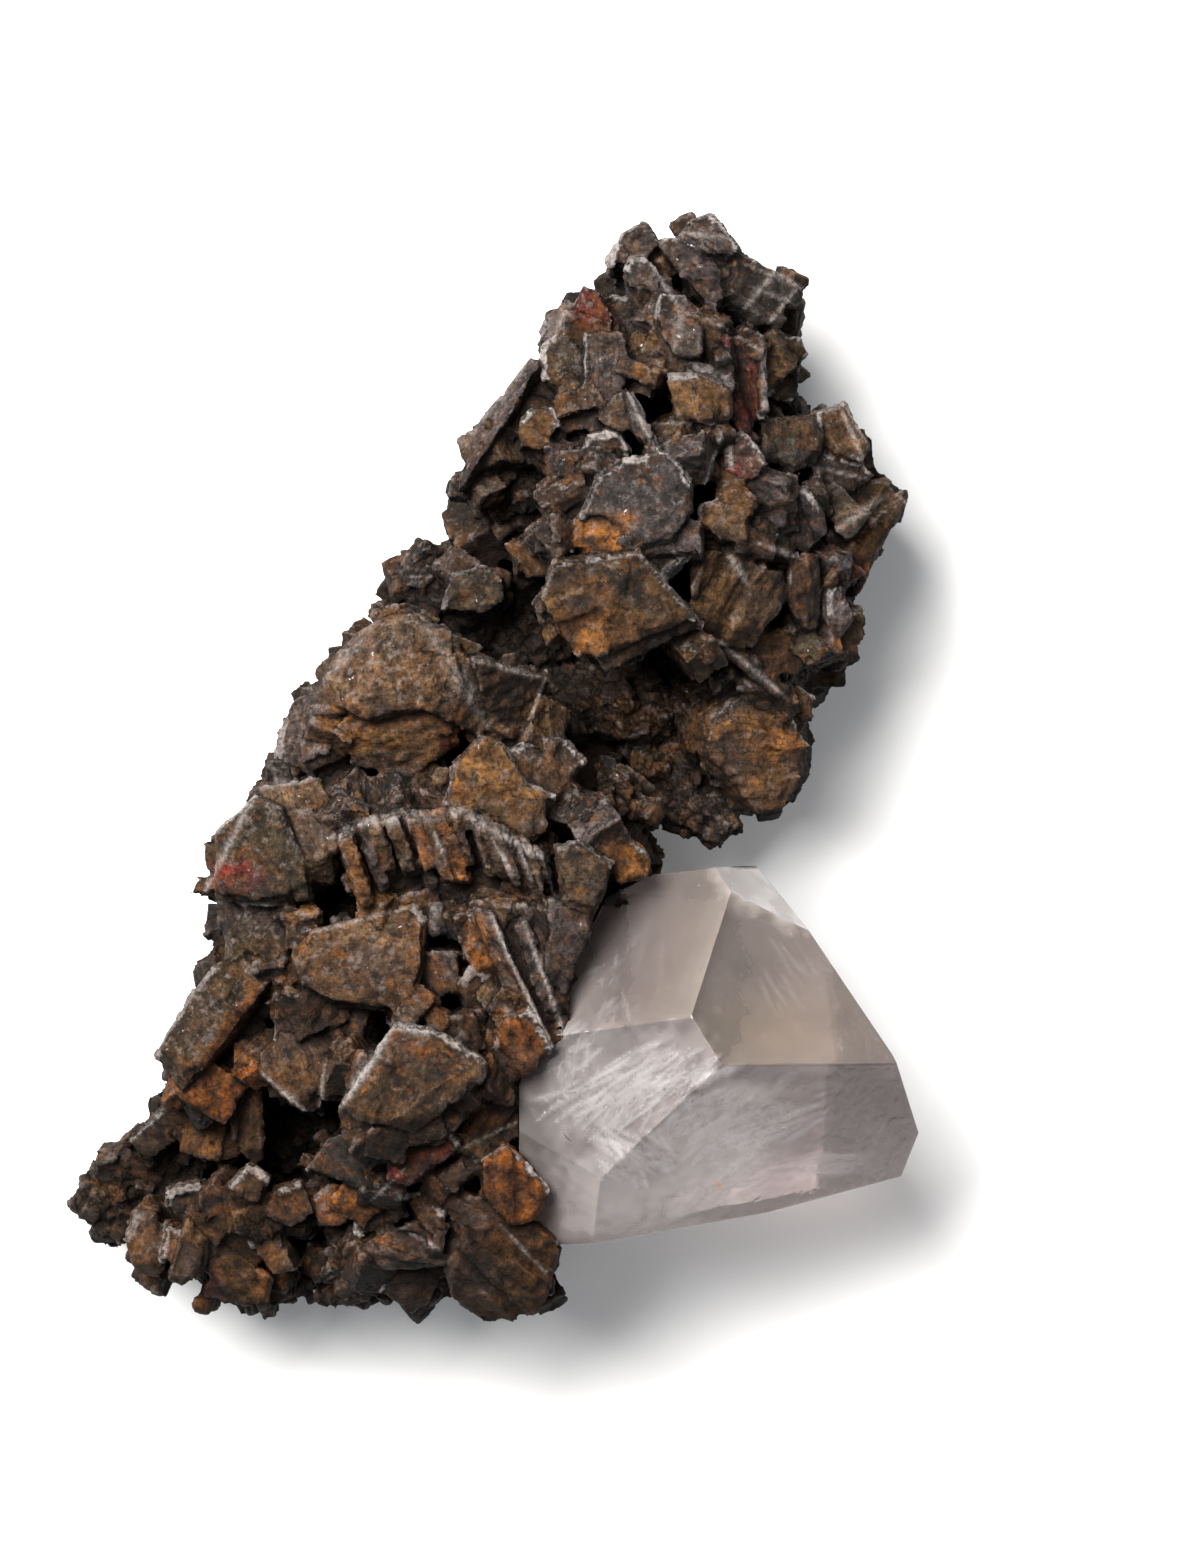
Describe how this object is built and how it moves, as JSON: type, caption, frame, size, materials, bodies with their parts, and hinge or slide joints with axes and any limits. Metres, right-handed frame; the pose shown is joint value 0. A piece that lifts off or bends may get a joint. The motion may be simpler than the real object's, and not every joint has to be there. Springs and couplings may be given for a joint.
{
  "type": "mineral specimen",
  "caption": "Clear to milky quartz crystal with flat tip faces, grown on a crust of blocky, rust-stained albite crystals; lies on a flat cut back.",
  "frame": {"origin": "on the flat cut at the back, under the middle of the crust", "axes": "+Z out of the flat cut towards the viewer, +Y up the specimen as pictured, +X to the right"},
  "size_m": [0.0843, 0.1118, 0.0457],
  "materials": {
    "clear_quartz": "clear to milky quartz, flat glossy faces with white veils inside",
    "iron_stained_albite": "rough crystal faces stained ochre to rust brown, with pale worn edges"
  },
  "bodies": {
    "root": {"quartz_crystal": "clear_quartz", "albite_crust": "iron_stained_albite"}
  },
  "joints": []
}
